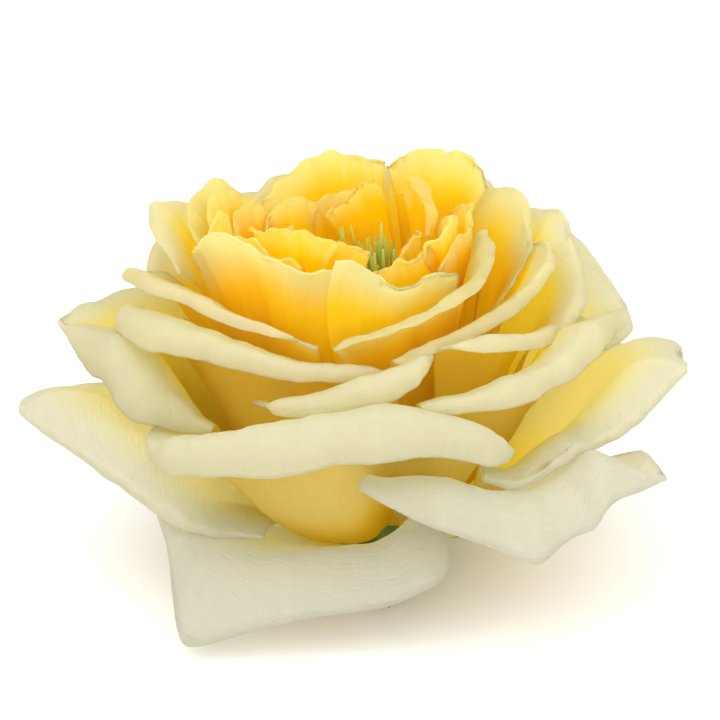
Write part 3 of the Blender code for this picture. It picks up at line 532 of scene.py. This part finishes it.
petalSkin = dict(
    # tones at the claw, the belly and the rim, for petals from the outermost (0) to the innermost (1)
    depths=(0, .12, .3, .45, .6, .7, 1),
    claw=((.97, .82, .12), (.98, .80, .04), (.985, .77, .015), (.99, .76, .01), (.99, .75, .008),
          (.99, .74, .006), (.99, .73, .006)),
    belly=((.86, .82, .54), (.91, .83, .40), (.95, .84, .22), (.98, .83, .10), (.99, .80, .025),
           (.99, .78, .015), (.99, .77, .012)),
    rim=((.74, .74, .70), (.76, .76, .70), (.80, .81, .74), (.82, .82, .69), (.82, .83, .56),
         (.92, .86, .40), (.96, .84, .28)),
    # where the tones end up a petal, and how far patches and veins shift them
    bellyEnds=(.6, .66, .8, .82, .79, .88, .9), clawEnds=.18, bellyFrom=.45, mottle=.1, streak=.05,
    # how fine the patches are, and how close the others lie along and up a petal
    patches=95, veins=(1.1, .07, 1), crepe=(2.2, 1.1, 1), crinkles=(.3, 1.3, 1), grain=.6,
    streakTone=(.95, .94, .9), streakShare=.4,
    # the turned margin is paler, and outer petals are more crinkled
    turnTone=.3, turnDepths=(0, .6), turnPale=(.4, .5), crinkleDepths=(0, .5), crinkle=(.0003, .00005),
    # heights of the bumps in metres, the surface, and the share of light that comes through
    veinBump=.00006, crepeBump=.00006, roughness=.62, specular=.25, glow=.77, glowBelly=.3)


def toneAt(part, depth):
    return [np.interp(depth, petalSkin["depths"], [tone[c] for tone in petalSkin[part]]) for c in range(3)]


def makePetalSkin(name, depth):
    p = petalSkin
    claw, belly, rim = toneAt("claw", depth), toneAt("belly", depth), toneAt("rim", depth)
    bellyTo = float(np.interp(depth, p["depths"], p["bellyEnds"]))
    skin = newSkin(name, p["roughness"], specular=p["specular"])
    place = addNode(skin, "ShaderNodeTexCoord")
    rise = addNode(skin, "ShaderNodeAttribute", attribute_name="rise").outputs["Fac"]
    turn = addNode(skin, "ShaderNodeAttribute", attribute_name="turn").outputs["Fac"]
    veins = noiseNode(skin, place.outputs["UV"], 1, 4, p["veins"], p["grain"])
    patches = noiseNode(skin, place.outputs["Object"], p["patches"], 3)
    crepe = noiseNode(skin, place.outputs["UV"], 1, 3, p["crepe"], p["grain"])
    level = rise
    for pattern, share in ((patches, p["mottle"]), (veins, p["streak"])):
        shift = mathNode(skin, "MULTIPLY", mathNode(skin, "SUBTRACT", pattern, .5), share)
        level = mathNode(skin, "ADD", level, shift)
    tone = rampNode(skin, level, [(p["clawEnds"], claw), (p["bellyFrom"], belly), (bellyTo, belly),
                                  (1.0, rim)])
    pale = float(np.interp(depth, p["turnDepths"], p["turnPale"]))
    turned = mixTone(rim, p["rim"][0], p["turnTone"])
    tone = blendNode(skin, mathNode(skin, "MULTIPLY", turn, pale), tone, turned)
    streaks = rampNode(skin, veins, [(.3, p["streakTone"]), (.7, (1, 1, 1))])
    tone = blendNode(skin, p["streakShare"], tone, streaks, "MULTIPLY")
    shader = skin.node_tree.nodes["Principled BSDF"]
    link(skin, tone, shader.inputs["Base Color"])
    bump = bumpNode(skin, veins, p["veinBump"])
    bump = bumpNode(skin, crepe, p["crepeBump"], bump)
    crinkles = noiseNode(skin, place.outputs["UV"], 1, 2, p["crinkles"], p["grain"])
    crinkles = mathNode(skin, "MULTIPLY", crinkles, mathNode(skin, "MAXIMUM", rise, turn))
    bump = bumpNode(skin, crinkles, float(np.interp(depth, p["crinkleDepths"], p["crinkle"])), bump)
    link(skin, bump, shader.inputs["Normal"])
    glow = addNode(skin, "ShaderNodeBsdfTranslucent")   # daylight through the thin petal
    link(skin, blendNode(skin, p["glowBelly"], tone, belly), glow.inputs["Color"])
    link(skin, bump, glow.inputs["Normal"])
    both = addNode(skin, "ShaderNodeMixShader")
    both.inputs[0].default_value = p["glow"]
    link(skin, shader.outputs[0], both.inputs[1])
    link(skin, glow.outputs[0], both.inputs[2])
    link(skin, both.outputs[0], skin.node_tree.nodes["Material Output"].inputs["Surface"])
    return skin


# pairs run from the outer petals to the inner ones, between the depths given for them; millimetres
petalFinish = dict(fringe=(.08, .28), fringeWave=(9, 3.6), fringeDepths=(.3, .6), ruffle=(.8, 1.5),
                   wave=(9, 5.5), ruffleDepths=(.5, .75), waveHeight=1.3, waveRise=1.5, waveGrowth=2.5,
                   smallHeight=.5, smallCloser=2.7, smallRise=2, dent=16, dentHeight=.9, crease=1.9,
                   creaseHeight=.09, creaseRise=(9, 2), creaseGrowth=4, seedStep=3.7)


def gridNormals(grid):
    normal = np.cross(np.gradient(grid, axis=0), np.gradient(grid, axis=1))
    return normal / np.maximum(np.linalg.norm(normal, axis=2, keepdims=True), 1e-9)


def ruffle(grid, seed, height, width):  # soft waves and fine creases that grow towards the rim
    f = petalFinish
    ribs = fine["ribSteps"]
    normals = gridNormals(grid)
    rim = grid[:, ribs]
    travelled = np.concatenate([[0], np.cumsum(np.linalg.norm(np.diff(rim, axis=0), axis=1))])
    moved = grid.copy()
    for i in range(grid.shape[0]):
        place = travelled[i]
        for j in range(1, grid.shape[1]):
            share = min(j / ribs, 1)
            over = max(j - ribs, 0) / (grid.shape[1] - 1 - ribs)
            wave = noise.noise((place / width, share * f["waveRise"], seed))
            smallPlace = place / width * f["smallCloser"]
            small = noise.noise((smallPlace, share * f["smallRise"] + over, seed + 7))
            dent = noise.noise(Vector(grid[i, j]) / f["dent"])
            creaseLevel = share * f["creaseRise"][0] + over * f["creaseRise"][1]
            crease = noise.noise((place / f["crease"], creaseLevel, seed + 3))
            waves = wave * f["waveHeight"] + small * f["smallHeight"]
            swing = height * (share**f["waveGrowth"] * waves + share * dent * f["dentHeight"])
            swing += f["creaseHeight"] * (share**f["creaseGrowth"] + over) * crease
            moved[i, j] += normals[i, j] * swing
    return moved


def makeSheet(name, grid, ribs):
    across, along = grid.shape[0] - 1, grid.shape[1] - 1
    bm = bmesh.new()
    uv = bm.loops.layers.uv.new("petal")
    rise = bm.verts.layers.float.new("rise")
    turn = bm.verts.layers.float.new("turn")
    bmesh.ops.create_grid(bm, x_segments=across, y_segments=along, size=1)
    placed = toRow(grid.reshape(-1, 3)).reshape(grid.shape)
    rim = grid[:, ribs]
    travelled = np.concatenate([[0], np.cumsum(np.linalg.norm(np.diff(rim, axis=0), axis=1))])
    climbed = np.linalg.norm(np.diff(grid, axis=1), axis=2)
    climbed = np.concatenate([np.zeros((across + 1, 1)), np.cumsum(climbed, axis=1)], axis=1)
    cell = {}
    for v in bm.verts:
        i = round((v.co.x + 1) / 2 * across)
        j = round((v.co.y + 1) / 2 * along)
        cell[v] = (travelled[i], climbed[i, j])
        v.co = Vector(placed[i, j])
        v[rise] = min(j / ribs, 1)
        v[turn] = max(j - ribs, 0) / (along - ribs)
    for face in bm.faces:
        face.smooth = True
        for loop in face.loops:
            loop[uv].uv = cell[loop.vert]
    mesh = bpy.data.meshes.new(name)
    bm.to_mesh(mesh)
    bm.free()
    piece = bpy.data.objects.new(name, mesh)
    bpy.context.scene.collection.objects.link(piece)
    wall = piece.modifiers.new("wall", "SOLIDIFY")
    wall.thickness = fine["thickness"] * mm
    wall.offset = 0
    return piece


def finishPetal(name, one, seed):
    f = petalFinish
    depth = one["depth"]
    rollSteps = fine["rollSteps"] if one["rolls"] > 1 else fine["shortRollSteps"]
    fringe = np.interp(depth, f["fringeDepths"], f["fringe"]) if depth is not None else 0
    wave = np.interp(depth or 0, f["fringeDepths"], f["fringeWave"])
    grid = petalGrid(one["look"], one["clawAngle"], fine["spanSteps"], fine["ribSteps"], rollSteps, 1,
                     fringe, wave, seed)
    grid = leanIn(grid, fineField(one["field"], one["rolls"], grid.shape[:2]))
    if depth is not None:
        height = np.interp(depth, f["ruffleDepths"], f["ruffle"])
        width = np.interp(depth, f["ruffleDepths"], f["wave"])
        grid = ruffle(grid, seed, height, width)
    piece = makeSheet(name + "_finish", grid, fine["ribSteps"])
    piece.data.materials.append(sepalSkin if depth is None else makePetalSkin(name, depth))
    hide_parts(name)
    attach(piece, "root")
    return piece


greenLook = dict(subsurface=.1, radius=(.4, 1, .2), scale=.0008, patches=400, bump=.0001)
sepalFinish = dict(roughness=.6, sheen=.1, dark=(.16, .26, .05), light=(.30, .42, .12), veins=(.8, .15, 1))


def newGreen(name, roughness, sheen):
    return newSkin(name, roughness, sheen, greenLook["subsurface"], greenLook["radius"], greenLook["scale"])


def paintGreen(skin, dark, light, stretch):
    place = addNode(skin, "ShaderNodeTexCoord")
    if stretch:
        veins = noiseNode(skin, place.outputs["UV"], 1, 4, stretch)
    else:
        veins = noiseNode(skin, place.outputs["Object"], greenLook["patches"], 4)
    shader = skin.node_tree.nodes["Principled BSDF"]
    link(skin, rampNode(skin, veins, [(.3, dark), (.7, light)]), shader.inputs["Base Color"])
    link(skin, bumpNode(skin, veins, greenLook["bump"]), shader.inputs["Normal"])


sepalSkin = newGreen("sepalSkin", sepalFinish["roughness"], sepalFinish["sheen"])
paintGreen(sepalSkin, sepalFinish["dark"], sepalFinish["light"], sepalFinish["veins"])

for seed, (name, one) in enumerate(laid.items()):
    finishPetal(name, one, seed * petalFinish["seedStep"])
print(len(laid), "petals and sepals finished")

# the hip is a profile turned about the bloom's axis
hipLook = dict(rings=28, around=64, cutRound=.25, neckTop=2, neckWaist=.1, cutZone=1, roughness=.5,
               dark=(.08, .16, .03), light=(.20, .30, .08))


def makeHip():
    profile = [(0, bloom["neckEnd"]), (bloom["neckRadius"] - hipLook["cutRound"], bloom["neckEnd"]),
               (bloom["neckRadius"], bloom["neckEnd"] + hipLook["cutRound"]),
               (bloom["neckRadius"] - hipLook["neckWaist"], bloom["neckEnd"] + hipLook["neckTop"])]
    for k in range(hipLook["rings"]):
        angle = math.radians(bloom["hipLowAngle"] * (1 - k / hipLook["rings"]))
        profile.append((bloom["domeRadius"] * math.sin(angle), bloom["domeHeight"] * math.cos(angle)))
    profile.append((0, bloom["domeHeight"]))
    bm = bmesh.new()
    line = [bm.verts.new((r, 0, z)) for r, z in profile]
    edges = [bm.edges.new(pair) for pair in zip(line, line[1:])]
    bmesh.ops.spin(bm, geom=line + edges, cent=(0, 0, 0), axis=(0, 0, 1), angle=math.tau,
                   steps=hipLook["around"], use_merge=True)
    bmesh.ops.remove_doubles(bm, verts=bm.verts, dist=.01)
    bmesh.ops.recalc_face_normals(bm, faces=bm.faces)
    for v in bm.verts:
        if v.co.z < bloom["neckEnd"] + hipLook["cutZone"]:
            v.co.z -= v.co.x * math.tan(math.radians(bloom["leanLeft"]))  # the cut is level once it leans
        v.co = Vector(toRow(np.array(v.co)))
    for face in bm.faces:
        face.smooth = True
    mesh = bpy.data.meshes.new("hip_finish")
    bm.to_mesh(mesh)
    bm.free()
    piece = bpy.data.objects.new("hip_finish", mesh)
    bpy.context.scene.collection.objects.link(piece)
    return piece


hipSkin = newGreen("hipSkin", hipLook["roughness"], 0)
paintGreen(hipSkin, hipLook["dark"], hipLook["light"], None)
hip = makeHip()
hip.data.materials.append(hipSkin)
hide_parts("hip")
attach(hip, "root")
print("hip finished")

# stamens are filaments with anthers round a tuft of styles
stamenLook = dict(count=52, styles=12, ring=(2.3, 5.2), styleRing=2, height=(27, 36), splay=(.5, 6),
                  styleSplay=.3, slant=.9, wander=1.7, heightWander=(.9, .8, .5), radius=.17, anther=.45,
                  styleTip=1.6, bend=10, sink=.2, turnStep=2.39996, steps=9, sides=6, toneFoot=16,
                  toneHeight=38, filament=(.3, (.80, .66, .05)), olive=(.75, (.33, .37, .04)),
                  pollen=(.98, (.42, .40, .05)), roughness=.6, sheen=.1, subsurface=.2,
                  subsurfaceRadius=(.6, .6, .1), subsurfaceScale=.0005)


def growFilament(bm, foot, tip, bend, radius, tipRadius):
    steps, sides = stamenLook["steps"], stamenLook["sides"]
    base = bmesh.ops.create_circle(bm, cap_ends=True, radius=radius, segments=sides)["verts"]
    face = base[0].link_faces[0]
    for v in base:
        v.co += foot
    for k in range(1, steps + 1):
        share = k / steps
        middle = foot.lerp(tip, share) + bend * math.sin(share * math.pi)
        size = radius if k < steps - 1 else tipRadius if k == steps - 1 else tipRadius * .5
        face = bmesh.ops.extrude_discrete_faces(bm, faces=[face])["faces"][0]
        centre = face.calc_center_median()
        scale = size / max((face.verts[0].co - centre).length, 1e-6)
        for v in face.verts:
            v.co = middle + (v.co - centre) * scale


def makeStamens():
    s = stamenLook
    bm = bmesh.new()
    for n in range(s["count"] + s["styles"]):
        style = n >= s["count"]
        turn = n * s["turnStep"]
        wander = noise.noise((n * s["wander"], 0, 3)) + .5
        share = (n - s["count"]) / s["styles"] if style else n / s["count"]
        inner, outer = s["ring"]
        ring = s["styleRing"] * math.sqrt(share) if style else inner + (outer - inner) * share
        drop = bloom["domeHeight"] * math.sqrt(max(0, 1 - (ring / bloom["domeRadius"])**2))
        footPoint = Vector((ring * math.cos(turn), ring * math.sin(turn), drop - s["sink"]))
        out = Vector((math.cos(turn + wander), math.sin(turn + wander), 0))
        narrow, wide = s["splay"]
        spread = narrow + (wide - narrow) * (s["styleSplay"] if style else wander)
        low, high = s["height"]
        step, swing, middle = s["heightWander"]
        top = low + (high - low) * (noise.noise((n * step, 5, 0)) * swing + middle)
        tipPoint = footPoint + out * spread * s["slant"] + Vector((0, 0, top))
        bend = Vector((noise.noise((n, 1, 0)), noise.noise((n, 2, 0)), 0)) * s["bend"]
        head = s["radius"] * s["styleTip"] if style else s["anther"]
        growFilament(bm, footPoint, tipPoint, bend, s["radius"], head)
    bmesh.ops.recalc_face_normals(bm, faces=bm.faces)
    height = bm.verts.layers.float.new("rise")
    for v in bm.verts:
        v[height] = min(1, max(0, (v.co.z - s["toneFoot"]) / s["toneHeight"]))
        v.co = Vector(toRow(np.array(v.co)))
    for face in bm.faces:
        face.smooth = True
    mesh = bpy.data.meshes.new("stamens_finish")
    bm.to_mesh(mesh)
    bm.free()
    piece = bpy.data.objects.new("stamens_finish", mesh)
    bpy.context.scene.collection.objects.link(piece)
    return piece


def makeStamenSkin():
    s = stamenLook
    skin = newSkin("stamenSkin", s["roughness"], s["sheen"], s["subsurface"], s["subsurfaceRadius"],
                   s["subsurfaceScale"])
    rise = addNode(skin, "ShaderNodeAttribute", attribute_name="rise").outputs["Fac"]
    tone = rampNode(skin, rise, [s["filament"], s["olive"], s["pollen"]])
    link(skin, tone, skin.node_tree.nodes["Principled BSDF"].inputs["Base Color"])
    return skin


stamens = makeStamens()
stamens.data.materials.append(makeStamenSkin())
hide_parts("stamens")
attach(stamens, "root")
print("stamens finished")

# floor, light and camera
stage = dict(floorSize=4, floorTone=(.86, .86, .86), floorPatches=6, floorShade=.99, floorRoughness=.9,
             world=1.36, key=4, keySize=.8, keyPlace=(-.25, -.55, .6), fill=1.3, fillPlace=(.5, -.35, .4),
             lightAim=(0, 0, .03))
# the receptacle's middle is off the middle of the view by left and below, in metres
view = dict(elevation=25, distance=.7, width=.12308, left=.00427, below=.02479, sensor=36, near=.01)


def makeFloor():
    bm = bmesh.new()
    bmesh.ops.create_grid(bm, x_segments=1, y_segments=1, size=stage["floorSize"] / 2)
    mesh = bpy.data.meshes.new("floor")
    bm.to_mesh(mesh)
    bm.free()
    floor = bpy.data.objects.new("floor", mesh)
    bpy.context.scene.collection.objects.link(floor)
    skin = newSkin("floorSkin", stage["floorRoughness"])
    place = addNode(skin, "ShaderNodeTexCoord")
    tone = rampNode(skin, noiseNode(skin, place.outputs["Object"], stage["floorPatches"], 2),
                    [(.3, stage["floorTone"]), (.7, [c * stage["floorShade"] for c in stage["floorTone"]])])
    link(skin, tone, skin.node_tree.nodes["Principled BSDF"].inputs["Base Color"])
    floor.data.materials.append(skin)


def addLight(name, place, size, energy):
    lamp = bpy.data.lights.new(name, "AREA")
    lamp.shape = "DISK"
    lamp.size = size
    lamp.energy = energy
    thing = bpy.data.objects.new(name, lamp)
    bpy.context.scene.collection.objects.link(thing)
    thing.location = place
    thing.rotation_mode = "QUATERNION"
    thing.rotation_quaternion = (Vector(place) - Vector(stage["lightAim"])).to_track_quat("Z", "Y")


def aimCamera():
    lift = math.radians(view["elevation"])
    back = Vector((0, -math.cos(lift), math.sin(lift)))
    up = Vector((0, math.sin(lift), math.cos(lift)))
    target = Vector(foot) * mm - Vector((view["left"], 0, 0)) + up * view["below"]
    data = bpy.data.cameras.new("camera")
    data.sensor_width = view["sensor"]
    data.lens = view["sensor"] * view["distance"] / view["width"]
    data.clip_start = view["near"]
    camera = bpy.data.objects.new("camera", data)
    bpy.context.scene.collection.objects.link(camera)
    camera.location = target + back * view["distance"]
    camera.rotation_mode = "QUATERNION"
    camera.rotation_quaternion = (-back).to_track_quat("-Z", "Y")
    bpy.context.scene.camera = camera


makeFloor()
addLight("key", stage["keyPlace"], stage["keySize"], stage["key"])
addLight("fill", stage["fillPlace"], stage["keySize"], stage["fill"])
world = bpy.data.worlds.new("paleStudio")
world.use_nodes = True
world.node_tree.nodes["Background"].inputs[0].default_value = (1, 1, 1, 1)
world.node_tree.nodes["Background"].inputs[1].default_value = stage["world"]
bpy.context.scene.world = world
bpy.context.scene.view_settings.view_transform = "Standard"
aimCamera()
